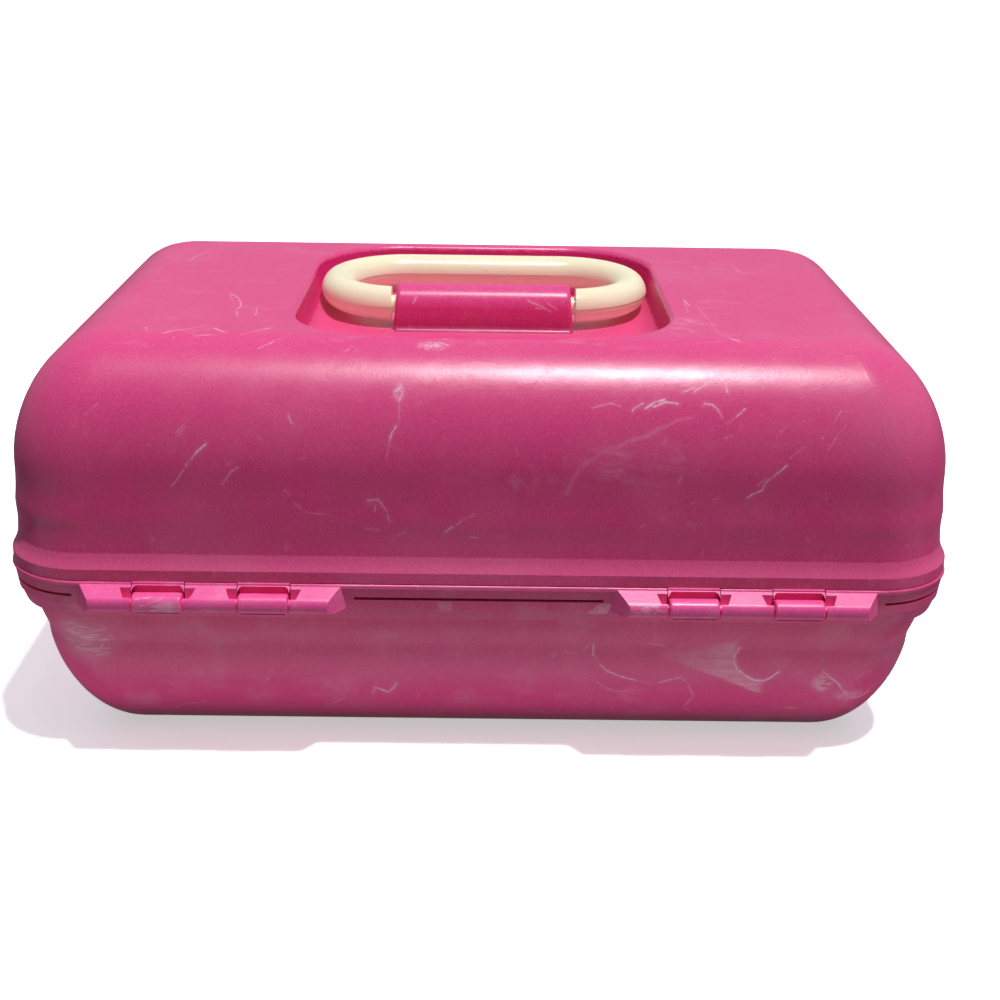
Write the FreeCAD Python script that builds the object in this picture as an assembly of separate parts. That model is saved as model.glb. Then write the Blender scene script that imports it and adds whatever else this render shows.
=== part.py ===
import FreeCAD, Part
import math
import os

os.makedirs("parts", exist_ok=True)
V = FreeCAD.Vector

# Hard moulded carry case: a deep domed lid on a shallow tub, four snap hinges along
# the rear (+Y), one wide clasp on the front (-Y), a bail handle lying in a well in the
# lid's top, and a tray inside that swings up and back with the lid.
# Millimetres.  +Z up, X across the case, origin under the centre on the surface it
# stands on.  Heights below named *_z are measured from the parting plane of the lid
# and the tub, which lies base_h above the origin.

# ---------------------------------------------------------------- driving dimensions
rim_w = 330.0            # width over the parting rim
rim_d = 217.0            # depth over the parting rim
rim_r = 28.2             # plan corner radius at the rim
lid_h = 78.4             # parting plane to the flat of the lid
base_h = 69.4            # parting plane to the underside
wall = 2.5               # lid wall
base_wall = 2.4          # tub wall
part_gap = 0.3           # between lid and tub when shut

flange_h = 4.3           # upright band round the lid's edge
cove_h = 5.3             # hollow sweep above the band, ending in a crease
cove_in = 2.1
lid_draft = 2.65         # degrees
lid_top_r = 7.8          # plan corner radius of the flat top
lid_sh_h = 43.5          # height and width of the big soft shoulder
lid_sh_w = 31.9
lid_sh_p = 1.87          # superellipse exponent of the shoulder

skirt_h = 14.0           # hollow skirt round the tub's rim
skirt_in = 2.9
skirt_t = 2.0
bead_out = 0.5
body_in = 6.41           # tub wall inset below the skirt, carried up along its draft
body_flare = 0.96        # how much further out the wall leaves the skirt
base_draft = 9.28
base_sh_h = 42.24        # soft lower edge of the tub
base_sh_w = 24.85
base_sh_p = 1.67
base_bot_r = 9.5

lip_in, lip_out, lip_h = 5.4, 3.2, 3.0     # upstanding lip inside the joint

# rear hinges
hinge_x = (73.1, 108.9)
hinge_out = 3.0          # axis behind the rim
hinge_z = -6.2
bar_r = 1.5
hook_r = 3.5
hook_w = 17.0
slot_w = 18.2
boss_roll_r = 3.2
boss_top_x = (46.7, 136.0)
boss_bot_x = (51.2, 132.0)

# handle and its well
well_x = 67.6            # half width at the top of the wall
well_y0, well_y1 = -70.0, 76.0
well_r = 35.0
well_floor_z = 63.4
well_draft = 7.0
well_foot_r = 8.0
pivot_y, pivot_z = 5.5, 71.9
grip_y = -52.5
tube_r = 6.6
tube_t = 2.0
tube_lower_r = 6.38
handle_x = 65.2          # half width over the handle
handle_bend = 27.5       # centre-line radius of the corners
arm_end_x = 35.4
journal_r = 3.3
sleeve_r = 8.0
sleeve_top_x, sleeve_foot_x = 33.0, 34.6

# clasp
latch_w = 63.0
latch_y = -111.8         # pin
latch_z = 9.5
latch_r = 3.2
latch_pin_r = 1.2

# tray and its links
tray_x = 148.0
tray_y0, tray_y1 = -95.0, 75.0
tray_z0, tray_z1 = -8.0, 20.0
tray_t = 1.8
lid_pivot = (54.0, 15.5)          # tray on lid, (y, z)
tray_link_pivot = (-20.0, 14.0)   # link on tray
rivet_r = 1.85
run_fit = 0.08

half_w, half_d = rim_w / 2, rim_d / 2
rear = half_d
axis = (rear + hinge_out, hinge_z)
link_vec = (lid_pivot[0] - axis[0], lid_pivot[1] - axis[1])
base_link_pivot = (tray_link_pivot[0] - link_vec[0], tray_link_pivot[1] - link_vec[1])
link_len = math.hypot(*link_vec)


# ---------------------------------------------------------------- helpers
def box(x0, x1, y0, y1, z0, z1):
    return Part.makeBox(x1 - x0, y1 - y0, z1 - z0, V(x0, y0, z0))


def rod(x0, x1, y, z, r):
    """Cylinder along X."""
    return Part.makeCylinder(r, x1 - x0, V(x0, y, z), V(1, 0, 0))


def rrect(a, b, r, z, cy=0.0):
    """Rounded rectangle, half sizes a and b, at height z."""
    r = max(0.6, min(r, a - 0.5, b - 0.5))
    k = r * math.sqrt(0.5)
    e = []
    c = [(a - r, b - r, 1, 1), (-(a - r), b - r, -1, 1), (-(a - r), -(b - r), -1, -1), (a - r, -(b - r), 1, -1)]
    p = []
    for i, (cx, yy, sx, sy) in enumerate(c):
        s = V(cx + sx * r, cy + yy, z)
        t = V(cx, cy + yy + sy * r, z)
        m = V(cx + sx * k, cy + yy + sy * k, z)
        p.append((s, m, t) if i % 2 == 0 else (t, m, s))
    for i in range(4):
        s, m, t = p[i]
        e.append(Part.Arc(s, m, t).toShape())
        e.append(Part.LineSegment(t, p[(i + 1) % 4][0]).toShape())
    return Part.Wire(e)


def loft(sections, ruled=False):
    return Part.makeLoft([rrect(*s) for s in sections], True, ruled)


def plate(a, b, r, z0, z1, cy=0.0):
    return Part.Face(rrect(a, b, r, z0, cy)).extrude(V(0, 0, z1 - z0))


def prism_x(points, x0, x1):
    """Straight-sided outline in (y, z), drawn out along X."""
    w = Part.makePolygon([V(x0, y, z) for y, z in points] + [V(x0, points[0][0], points[0][1])])
    return Part.Face(w).extrude(V(x1 - x0, 0, 0))


def prism_edges(edges, dx):
    return Part.Face(Part.Wire(edges)).extrude(V(dx, 0, 0))


def seg(x, p, q):
    return Part.LineSegment(V(x, *p), V(x, *q)).toShape()


def arc(x, p, m, q):
    return Part.Arc(V(x, *p), V(x, *m), V(x, *q)).toShape()


def half_space(p, q, s, far):
    """Big slab on the side of plane p-q-s that holds the point far."""
    p, q, s, far = V(*p), V(*q), V(*s), V(*far)
    n = (q - p).cross(s - p)
    n.normalize()
    if (far - p).dot(n) < 0:
        n = n * -1
    b = Part.makeBox(400, 400, 80, V(-200, -200, 0))
    b.Placement = FreeCAD.Placement(p, FreeCAD.Rotation(V(0, 0, 1), n))
    return b


def mirror_x(s):
    return s.mirror(V(0, 0, 0), V(1, 0, 0))


def offset_profile(prof, t):
    """Profile (inset, z) moved t along its inward normal."""
    out = []
    for i, (d, z) in enumerate(prof):
        a = prof[max(0, i - 1)]
        b = prof[min(len(prof) - 1, i + 1)]
        ux, uz = b[0] - a[0], b[1] - a[1]
        n = math.hypot(ux, uz)
        s = 1 if uz > 0 else -1
        out.append((d + t * s * uz / n, z - t * s * ux / n))
    return out


# ---------------------------------------------------------------- lid outline by height
def lid_profile():
    p = [(0.0, flange_h)]
    for q in (0.25, 0.5, 0.75, 1.0):
        p.append((cove_in * (1.5 * q - 0.5 * q * q), flange_h + cove_h * q))
    td = math.tan(math.radians(lid_draft))
    zc = flange_h + cove_h
    zs = lid_h - lid_sh_h
    for i in (1, 2, 3):
        z = zc + (zs - zc) * i / 3
        p.append((cove_in + td * (z - zc), z))
    d0 = p[-1][0]
    n = 15
    for i in range(1, n + 1):
        q = i / n
        s = math.sin(q * math.pi / 2) ** (2 / lid_sh_p)
        c = math.cos(q * math.pi / 2) ** (2 / lid_sh_p) if i < n else 0.0
        p.append((d0 + lid_sh_w * (1 - c), zs + lid_sh_h * s))
    return p


def base_profile():
    tb = math.tan(math.radians(base_draft))
    zb = -(base_h - base_sh_h)
    p = []
    for z, out in ((-1.0, 0.1), (-7.0, 0.55), (-skirt_h, 1.0), (-18.0, 1.0), (-22.5, 0.6), (zb, 0.0)):
        p.append((body_in + tb * (-skirt_h - z) - out * body_flare, z))
    d0 = p[-1][0]
    n = 13
    for i in range(1, n + 1):
        q = i / n
        s = math.sin(q * math.pi / 2) ** (2 / base_sh_p)
        c = math.cos(q * math.pi / 2) ** (2 / base_sh_p) if i < n else 0.0
        p.append((d0 + base_sh_w * (1 - c), zb - base_sh_h * s))
    return p


lid_out = lid_profile()
lid_dtop = lid_out[-1][0]
base_out = base_profile()
base_dbot = base_out[-1][0]


def lid_r(d):
    return rim_r + (lid_top_r - rim_r) * max(0.0, min(1.0, d / lid_dtop))


def base_r(d):
    return rim_r + (base_bot_r - rim_r) * max(0.0, min(1.0, d / base_dbot))


# ---------------------------------------------------------------- lid shell
td = math.tan(math.radians(lid_draft))
zc = flange_h + cove_h
wall_line = [(cove_in - td * (zc - z), z) for z in (flange_h - 2.0, (flange_h + zc) / 2)] + lid_out[4:]
outer = loft([(half_w - d, half_d - d, lid_r(d), z) for d, z in wall_line])
cove = [(cove_in * (1.5 * q - 0.5 * q * q), flange_h + cove_h * q) for q in (0.0, 0.35, 0.7, 1.06)]
sweep = loft([(half_w - d, half_d - d, lid_r(d), z) for d, z in cove])
sweep = sweep.fuse(plate(half_w, half_d, rim_r, part_gap, flange_h))
outer = outer.fuse(sweep)

inn = offset_profile(wall_line, wall)
inn_r = [max(4.0, lid_r(wall_line[i][0]) - wall) for i in range(len(inn))]
inner = loft([(half_w - d, half_d - d, inn_r[i], z) for i, (d, z) in enumerate(inn)])
rim_in = 2.3
inner = inner.fuse(loft([(half_w - rim_in, half_d - rim_in, rim_r - rim_in, flange_h), (half_w - 4.65, half_d - 4.65, inn_r[0], 8.4)], True))
inner = inner.fuse(plate(half_w - rim_in, half_d - rim_in, rim_r - rim_in, -5.0, flange_h))

# handle well: the pocket and the same pocket one wall bigger
wc = (well_y0 + well_y1) / 2
wb = (well_y1 - well_y0) / 2


def well(grow, top):
    s = []
    f = well_floor_z - grow
    rf = well_foot_r + grow * 0.5
    td = math.tan(math.radians(well_draft))
    knee = lid_h - 2.2
    hs = [0, 0.25, 0.8, 1.8, 3.2, 5.2, rf]
    for h in hs:
        z = f + h
        ins = td * (knee - z) + rf - math.sqrt(max(0.0, rf * rf - (rf - h) ** 2))
        s.append((well_x - ins + grow, wb - ins + grow, well_r - ins + grow, z, wc))
    if top:
        s.append((well_x + grow, wb + grow, well_r + grow, knee, wc))
        for u in (0.35, 0.65, 0.88, 0.98):
            fl = 2.3 * (1 - math.sqrt(1 - u * u))
            s.append((well_x + fl, wb + fl, well_r + fl, knee + 2.3 * u, wc))
    else:
        s.append((well_x + grow, wb + grow, well_r + grow, knee + 5.0, wc))
    return loft(s)


pocket = well(0.0, True)
pocket_top = plate(well_x + 1.85, wb + 1.85, well_r + 1.85, lid_h - 2.2 + 2.3 * 0.98, lid_h + 6, wc)
pocket = pocket.fuse(pocket_top)
jacket = well(wall, False)
lid = outer.cut(pocket).cut(inner.cut(jacket))

# moulded sleeve across the well that carries the handle
sx = 40.0
fr = 2.2
sl = sleeve_r
zf = well_floor_z
e = [seg(-sx, (pivot_y - sl - fr, zf - 1.2), (pivot_y - sl - fr, zf)),
     arc(-sx, (pivot_y - sl - fr, zf), (pivot_y - sl - fr * 0.293, zf + fr * 0.293), (pivot_y - sl, zf + fr)),
     seg(-sx, (pivot_y - sl, zf + fr), (pivot_y - sl, pivot_z)),
     arc(-sx, (pivot_y - sl, pivot_z), (pivot_y, pivot_z + sl), (pivot_y + sl, pivot_z)),
     seg(-sx, (pivot_y + sl, pivot_z), (pivot_y + sl, zf + fr)),
     arc(-sx, (pivot_y + sl, zf + fr), (pivot_y + sl + fr * 0.293, zf + fr * 0.293), (pivot_y + sl + fr, zf)),
     seg(-sx, (pivot_y + sl + fr, zf), (pivot_y + sl + fr, zf - 1.2)),
     seg(-sx, (pivot_y + sl + fr, zf - 1.2), (pivot_y - sl - fr, zf - 1.2))]
sleeve = prism_edges(e, 2 * sx)
for sgn in (1, -1):
    sleeve = sleeve.cut(half_space((sgn * sleeve_top_x, 0, pivot_z + sl), (sgn * sleeve_top_x, 10, pivot_z + sl),
                                   (sgn * sleeve_foot_x, 0, zf), (sgn * 60, 0, pivot_z)))
rim_edges = []
for ed in sleeve.Edges:
    bb = ed.BoundBox
    if abs(bb.XMin) > 32.5 and bb.ZMax > zf + fr + 0.5 and bb.XMin * bb.XMax > 0 and bb.ZMin > zf + fr - 0.1 and bb.XMax - bb.XMin < 3:
        rim_edges.append(ed)
try:
    sleeve = sleeve.makeFillet(1.6, rim_edges)
except Exception:
    pass
# the sleeve's foot sits in a shallow recess in the well floor; it is hollow, with a bore for the
# handle at each end
lid = lid.cut(sleeve)
sleeve = sleeve.cut(box(-23.5, 23.5, pivot_y - 5.6, pivot_y + 5.6, zf - 3, pivot_z))
sleeve = sleeve.cut(rod(-23.5, 23.5, pivot_y, pivot_z, 5.6))
sleeve = sleeve.cut(rod(-40, 40, pivot_y, pivot_z, journal_r + run_fit)).removeSplitter()

# hooks that snap over the hinge bars
for x in [s * h for h in hinge_x for s in (1, -1)]:
    x0, x1 = x - hook_w / 2, x + hook_w / 2
    h = rod(x0, x1, axis[0], axis[1], hook_r)
    h = h.makeFillet(0.9, [ed for ed in h.Edges if ed.BoundBox.XLength < 0.01])
    a = math.radians(-58)
    h = h.fuse(rod(x0 + 0.9, x1 - 0.9, axis[0] + math.cos(a) * (hook_r + 0.05), axis[1] + math.sin(a) * (hook_r + 0.05), 0.42))
    arm = box(x0, x1, rear - wall, rear - 0.5, axis[1] - 1.0, flange_h - 1.0)
    web = prism_x([(rear - wall, axis[1] - 1.0), (axis[0] - 1.5, axis[1] - 2.2), (axis[0] - 1.5, axis[1] + 2.4),
                   (rear - 0.5, axis[1] + 2.2), (rear - wall, axis[1] + 2.2)], x0, x1)
    # brow over the slot: carries on the rim and the sloping top of the hinge block, with a
    # round-cornered window above the hook
    e0, e1 = x - slot_w / 2 + 0.3, x + slot_w / 2 - 0.3
    brow = prism_x([(rear - 1.2, part_gap + 0.6), (rear - 0.05, part_gap + 0.6), (rear - 0.05, part_gap + 0.02),
                    (rear + 0.32, -0.1), (rear + 0.4, -0.65), (rear + 2.7, -2.17), (rear + 2.0, -2.6), (rear - 1.2, -2.6)], e0, e1)
    window = box(e0 + 1.7, e1 - 1.7, rear - 2, rear + 4, -4.0, -0.85).fuse(box(e0 - 1, e1 + 1, rear - 2, rear + 4, -4.0, -2.55))
    for xe in (e0 + 1.7, e1 - 1.7):
        window = window.fuse(Part.makeCylinder(1.7, 6, V(xe, rear - 2, -2.55), V(0, 1, 0)))
    h = h.fuse([arm, web, brow.cut(window)])
    h = h.cut(rod(x0 - 1, x1 + 1, axis[0], axis[1], bar_r + run_fit))
    # mouth of the hook, underneath and towards the case
    m = box(x0 - 1, x1 + 1, -1.3, 1.3, -6.0, 0.0).rotated(V(0, 0, 0), V(1, 0, 0), -38).translated(V(0, axis[0], axis[1]))
    h = h.cut(m)
    lid = lid.fuse(h)

# cheeks that carry the clasp pin, welded to the front wall
cheeks = []
for sg in (1, -1):
    a, b = sg * (latch_w / 2 + 0.5), sg * (latch_w / 2 + 4.6)
    x0, x1 = min(a, b), max(a, b)
    ck = prism_x([(-(half_d - 2.3), 3.2), (-(half_d + 0.4), 3.2), (latch_y - 2.9, latch_z - 1.4), (latch_y - 2.9, latch_z + 1.4),
                  (latch_y - 0.6, latch_z + 3.2), (-(half_d - 1.5), latch_z + 6.5), (-(half_d - 4.0), latch_z + 6.5)], x0, x1)
    ck = ck.fuse(rod(x0, x1, latch_y, latch_z, 3.2))
    ck = ck.cut(rod(x0 - 1, x1 + 1, latch_y, latch_z, latch_pin_r)).cut(outer)
    cheeks.append(ck.removeSplitter())
clasp_cheeks = Part.makeCompound([c.Solids[0] for c in cheeks])

# posts for the tray pins, and screw posts for the mirror frame
for sg in (1, -1):
    x0, x1 = sorted((sg * 150.6, sg * 161.5))
    lug = rod(x0, x1, lid_pivot[0], lid_pivot[1], 5.5)
    lid = lid.fuse(lug)
    b0, b1 = sorted((sg * 150.0, sg * 158.5))
    lid = lid.cut(rod(b0, b1, lid_pivot[0], lid_pivot[1], rivet_r))
screw_xy = [(sgx * 90.0, y) for sgx in (1, -1) for y in (-46.0, 50.0)]
frame_top_z = 59.0
for x, y in screw_xy:
    lid = lid.fuse(Part.makeCylinder(3.8, lid_h - wall + 0.8 - frame_top_z, V(x, y, frame_top_z)))
    lid = lid.cut(Part.makeCylinder(1.3, 13.0, V(x, y, frame_top_z - 0.5)))
lid = lid.removeSplitter()

# ---------------------------------------------------------------- tub
body = loft([(half_w - d, half_d - d, base_r(d), z) for d, z in base_out])
bi = offset_profile(base_out, base_wall)
bi_r = [max(4.0, base_r(base_out[i][0]) - base_wall) for i in range(len(bi))]
hollow = loft([(half_w - d, half_d - d, bi_r[i], z) for i, (d, z) in enumerate(bi)])

# rim ledge, bead and skirt
bead = [(0.0, 0.0), (-0.34, -0.25), (-bead_out, -0.8), (-0.34, -1.35), (0.05, -1.7)]
rim = loft([(half_w - d, half_d - d, rim_r - d, z) for d, z in bead])
step_z = -9.2
m1 = 0.95
sk_up = loft([(half_w - 0.05, half_d - 0.05, rim_r - 0.05, -1.7), (half_w - m1, half_d - m1, rim_r - m1, step_z)], True)
sk_lo = loft([(half_w - m1 - 0.3, half_d - m1 - 0.3, rim_r - m1 - 0.3, step_z),
              (half_w - skirt_in, half_d - skirt_in, rim_r - skirt_in, -skirt_h)], True)
skirt = rim.fuse([sk_up, sk_lo])
v1, v2 = m1 + 0.3 + 1.8, skirt_in + 1.6
void = loft([(half_w - skirt_t, half_d - skirt_t, rim_r - skirt_t, -2.4), (half_w - v1, half_d - v1, rim_r - v1, step_z),
             (half_w - v2, half_d - v2, rim_r - v2, -skirt_h)], True)
void = void.fuse(plate(half_w - v2, half_d - v2, rim_r - v2, -skirt_h - 2, -skirt_h))
skirt = skirt.cut(void)

# slits through the skirt: one along the middle of the rear, one round each corner
slit = box(-42.6, 42.6, rear - 8, rear + 8, -5.95, -4.95)
for sg in (1, -1):
    x0, x1 = sorted((sg * 139.0, sg * 180.0))
    slit = slit.fuse(box(x0, x1, 62.0, rear + 8, -5.95, -4.95))
    slit = slit.fuse(box(x0, x1, -rear - 8, -62.0, -5.95, -4.95))
skirt = skirt.cut(slit)

# two hinge blocks behind the rim
ang = math.radians(32)
ty, tz = math.sin(ang) * boss_roll_r, math.cos(ang) * boss_roll_r
p0 = (rear - 1.0, -0.3)
p1 = (axis[0] + ty, axis[1] + tz)
mid = (axis[0] + boss_roll_r * math.cos(math.radians(-16)), axis[1] + boss_roll_r * math.sin(math.radians(-16)))
p2 = (axis[0], axis[1] - boss_roll_r)
e = [seg(40, (rear - 1.2, -0.45), (rear + 0.1, -0.45)), seg(40, (rear + 0.1, -0.45), p1), arc(40, p1, mid, p2),
     seg(40, p2, (rear - 1.5, axis[1] - boss_roll_r)), seg(40, (rear - 1.5, axis[1] - boss_roll_r), (rear - 1.2, -0.45))]
block = prism_edges(e, 110)
block = block.cut(half_space((boss_top_x[0], rear, -0.45), (boss_bot_x[0], rear + 6.2, -8.6), (45.2, rear - 1.4, -9.4), (0, rear, -5)))
block = block.cut(half_space((boss_top_x[1], rear, -0.45), (boss_bot_x[1], rear + 6.2, -8.6), (137.2, rear - 1.4, -9.4), (200, rear, -5)))
blocks = [block, mirror_x(block)]

tub = skirt.fuse(body).fuse(blocks)
lip = plate(half_w - lip_out, half_d - lip_out, rim_r - lip_out, -2.4, lip_h).cut(
    plate(half_w - lip_in, half_d - lip_in, rim_r - lip_in, -3, lip_h + 1))
ledge = plate(half_w - 1.0, half_d - 1.0, rim_r - 1.0, -2.4, 0.0)
tub = tub.fuse(ledge).fuse(lip)
hd = bi[0][0]
hollow = hollow.fuse(plate(half_w - hd, half_d - hd, bi_r[0], bi[0][1] - 0.01, 6.0))
tub = tub.cut(hollow)

for x in [s * h for h in hinge_x for s in (1, -1)]:
    s = slot_w / 2
    cutter = box(x - s, x + s, rear - 3.1, rear + 12, -10.2, 0.5)
    for sg in (1, -1):
        # pocket beside the slot where the bar's end shows; it narrows towards the rear
        pk = Part.makePolygon([V(x + sg * (s - 0.1), rear + 1.5, -5.9), V(x + sg * (s + 3.7), rear + 1.5, -5.9),
                               V(x + sg * (s + 2.2), rear + 5.0, -5.9), V(x + sg * (s - 0.1), rear + 5.0, -5.9),
                               V(x + sg * (s - 0.1), rear + 1.5, -5.9)])
        cutter = cutter.fuse(Part.Face(pk).extrude(V(0, 0, 6.9)))
    tub = tub.cut(cutter)
    tub = tub.fuse(rod(x - s - 4.4, x + s + 4.4, axis[0], axis[1], bar_r))

# keeper for the clasp
keeper = prism_x([(-(rear - 2.0), -6.2), (-(rear + 1.1), -7.0), (-(rear + 2.1), -8.2), (-(rear + 2.1), -9.9),
                  (-(rear - 2.6), -9.9)], -27.0, 27.0)
tub = tub.fuse(keeper)

# bosses that carry the link pins
for sg in (1, -1):
    x0, x1 = sorted((sg * 154.0, sg * 158.9))
    tub = tub.fuse(rod(x0, x1, base_link_pivot[0], base_link_pivot[1], 5.5))
    b0, b1 = sorted((sg * 153.0, sg * 158.2))
    tub = tub.cut(rod(b0, b1, base_link_pivot[0], base_link_pivot[1], rivet_r))
tub = tub.removeSplitter()


# ---------------------------------------------------------------- handle, two shells
def tube(r_out, r_in, z_lo, z_hi):
    """Bail of the given section, cut to the band z_lo..z_hi."""
    cx = handle_x - tube_r
    ya, yg, rb = pivot_y, grip_y, handle_bend

    def run(r):
        parts = []
        parts.append(rod(-(cx - rb), cx - rb, yg, pivot_z, r))
        for s in (1, -1):
            t = Part.makeTorus(rb, r, V(s * (cx - rb), yg + rb, pivot_z), V(0, 0, 1))
            q = box(min(s * (cx - rb), s * 90), max(s * (cx - rb), s * 90), yg - 20, yg + rb, 50, 90)
            parts.append(t.common(q))
            if ya - yg > 2 * rb + 0.01:
                parts.append(Part.makeCylinder(r, ya - yg - 2 * rb, V(s * cx, yg + rb, pivot_z), V(0, 1, 0)))
            t = Part.makeTorus(rb, r, V(s * (cx - rb), ya - rb, pivot_z), V(0, 0, 1))
            q = box(min(s * arm_end_x, s * 90), max(s * arm_end_x, s * 90), ya - rb, ya + 20, 50, 90)
            parts.append(t.common(q))
        b = parts[0].fuse(parts[1:])
        return b
    b = run(r_out)
    core = run(r_in)
    # closed ends
    for s in (1, -1):
        x0, x1 = sorted((s * (arm_end_x - 1), s * (arm_end_x + 2.2)))
        core = core.cut(box(x0, x1, ya - 12, ya + 12, 50, 90))
    b = b.cut(core)
    return b.common(box(-90, 90, -90, 40, z_lo, z_hi))


split = pivot_z + 0.2
upper = tube(tube_r, tube_r - tube_t, split, 90)
lower = tube(tube_lower_r, tube_lower_r - tube_t, 50, split)
for s in (1, -1):
    x0, x1 = sorted((s * 26.5, s * (arm_end_x + 1.2)))
    j = rod(x0, x1, pivot_y, pivot_z, journal_r)
    upper = upper.fuse(j)
    lower = lower.cut(j)
upper = upper.removeSplitter()
lower = lower.removeSplitter()

# ---------------------------------------------------------------- clasp
lw = latch_w / 2
yo = latch_y - latch_r          # outermost line
edges = [seg(-lw, (latch_y - latch_r, latch_z), (yo + 0.55, 3.0)),
         seg(-lw, (yo + 0.55, 3.0), (yo + 0.75, -8.0)),
         arc(-lw, (yo + 0.75, -8.0), (yo + 0.6, -12.4), (yo, -16.4)),
         seg(-lw, (yo, -16.4), (yo + 1.7, -16.8)),
         arc(-lw, (yo + 1.7, -16.8), (yo + 2.35, -14.6), (yo + 2.7, -12.6)),
         seg(-lw, (yo + 2.7, -12.6), (-(rear + 1.2), -11.6)),
         seg(-lw, (-(rear + 1.2), -11.6), (-(rear + 1.2), -10.3)),
         seg(-lw, (-(rear + 1.2), -10.3), (yo + 2.9, -10.3)),
         seg(-lw, (yo + 2.9, -10.3), (yo + 2.7, 2.0)),
         seg(-lw, (yo + 2.7, 2.0), (latch_y + 1.6, latch_z - 2.4)),
         seg(-lw, (latch_y + 1.6, latch_z - 2.4), (latch_y - latch_r, latch_z))]
clasp = prism_edges(edges, 2 * lw)
clasp = clasp.fuse(rod(-lw, lw, latch_y, latch_z, latch_r))
# rounded lower corners
for sg in (1, -1):
    c = box(min(sg * (lw - 6), sg * (lw + 1)), max(sg * (lw - 6), sg * (lw + 1)), -130, -105, -20, -10.8)
    c = c.cut(Part.makeCylinder(6.0, 30, V(sg * (lw - 6), -132, -10.8), V(0, 1, 0)))
    clasp = clasp.cut(c)
# hook only over the keeper's length
for sg in (1, -1):
    a, b = sorted((sg * 25.5, sg * (lw + 1)))
    clasp = clasp.cut(box(a, b, yo + 3.0, -100, -14, -9.5))
# shallow thumb hollow across the plate
clasp = clasp.cut(Part.makeCylinder(30.0, 44, V(-22, yo - 29.15, -4.5), V(1, 0, 0)))
clasp = clasp.cut(rod(-lw - 1, lw + 1, latch_y, latch_z, latch_pin_r + run_fit))
clasp = clasp.removeSplitter()
latch_pin = rod(-(lw + 4.6), lw + 4.6, latch_y, latch_z, latch_pin_r)

# ---------------------------------------------------------------- tray
ty_c = (tray_y0 + tray_y1) / 2
ty_b = (tray_y1 - tray_y0) / 2
tray_r = 14.0
tray = loft([(tray_x - 1.2, ty_b - 1.2, tray_r - 1.2, tray_z0, ty_c), (tray_x, ty_b, tray_r, tray_z0 + 1.4, ty_c),
             (tray_x, ty_b, tray_r, tray_z1, ty_c)], True)
# compartments (x0, x1, y0, y1, floor)
fl = tray_z0 + tray_t
ix, iy0, iy1 = tray_x - tray_t, tray_y0 + tray_t, tray_y1 - tray_t
row = -16.0
cells = [(-ix, -62.0, iy0, row - 0.8), (-60.4, 60.4, iy0, row - 0.8), (62.0, ix, iy0, row - 0.8),
         (-ix, -92.0, row + 0.8, iy1), (-90.4, -31.0, row + 0.8, iy1), (-29.4, 29.4, row + 0.8, iy1),
         (31.0, 90.4, row + 0.8, iy1), (92.0, ix, row + 0.8, iy1)]
inside = plate(ix, ty_b - tray_t, tray_r - tray_t, fl, tray_z1 + 5, ty_c)
for x0, x1, y0, y1 in cells:
    cx_, cy_ = (x0 + x1) / 2, (y0 + y1) / 2
    c = plate((x1 - x0) / 2, (y1 - y0) / 2, 4.0, fl, tray_z1 + 5, cy_).translated(V(cx_, 0, 0))
    tray = tray.cut(c.common(inside))
# dividers stand lower than the rim
tray = tray.cut(plate(ix, ty_b - tray_t, tray_r - tray_t, tray_z1 - 6.0, tray_z1 + 5, ty_c))
for sg in (1, -1):
    for (y, z), rr in ((tray_link_pivot, rivet_r), (lid_pivot, rivet_r + run_fit)):
        x0, x1 = sorted((sg * 146.5, sg * 150.2))
        tray = tray.fuse(rod(x0, x1, y, z, 4.6))
        b0, b1 = sorted((sg * 140.0, sg * 152.0))
        tray = tray.cut(rod(b0, b1, y, z, rr))
tray = tray.removeSplitter()


def link(sg):
    x0, x1 = sorted((sg * 150.6, sg * 153.4))
    (ya, za), (yb, zb) = base_link_pivot, tray_link_pivot
    ux, uz = (yb - ya) / link_len, (zb - za) / link_len
    nx, nz = -uz, ux
    w = 4.4
    s = prism_x([(ya + nx * w, za + nz * w), (yb + nx * w, zb + nz * w), (yb - nx * w, zb - nz * w), (ya - nx * w, za - nz * w)], x0, x1)
    s = s.fuse([rod(x0, x1, ya, za, 5.4), rod(x0, x1, yb, zb, 5.4)])
    s = s.cut(rod(x0 - 1, x1 + 1, ya, za, rivet_r + run_fit))
    # the pivot where the loop of tray, lid and link is opened: a little more play
    s = s.cut(rod(x0 - 1, x1 + 1, yb, zb, rivet_r + 0.2))
    return s.removeSplitter()


def rivets(y, z, x_head0, x_head1, x_end, head_r=3.9):
    """Headed pin and its mirror image."""
    s = rod(x_head0, x_head1, y, z, head_r)
    a, b = sorted((x_head0, x_end)) if x_end < x_head0 else (x_head1, x_end)
    s = s.fuse(rod(min(a, b), max(a, b), y, z, rivet_r)).removeSplitter()
    return Part.makeCompound([s, mirror_x(s)])


base_link_rivets = rivets(*base_link_pivot, 148.9, 150.3, 158.1)
tray_link_rivets = rivets(*tray_link_pivot, 153.7, 155.2, 143.6)
tray_lid_rivets = rivets(*lid_pivot, 144.3, 145.8, 158.4)

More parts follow.
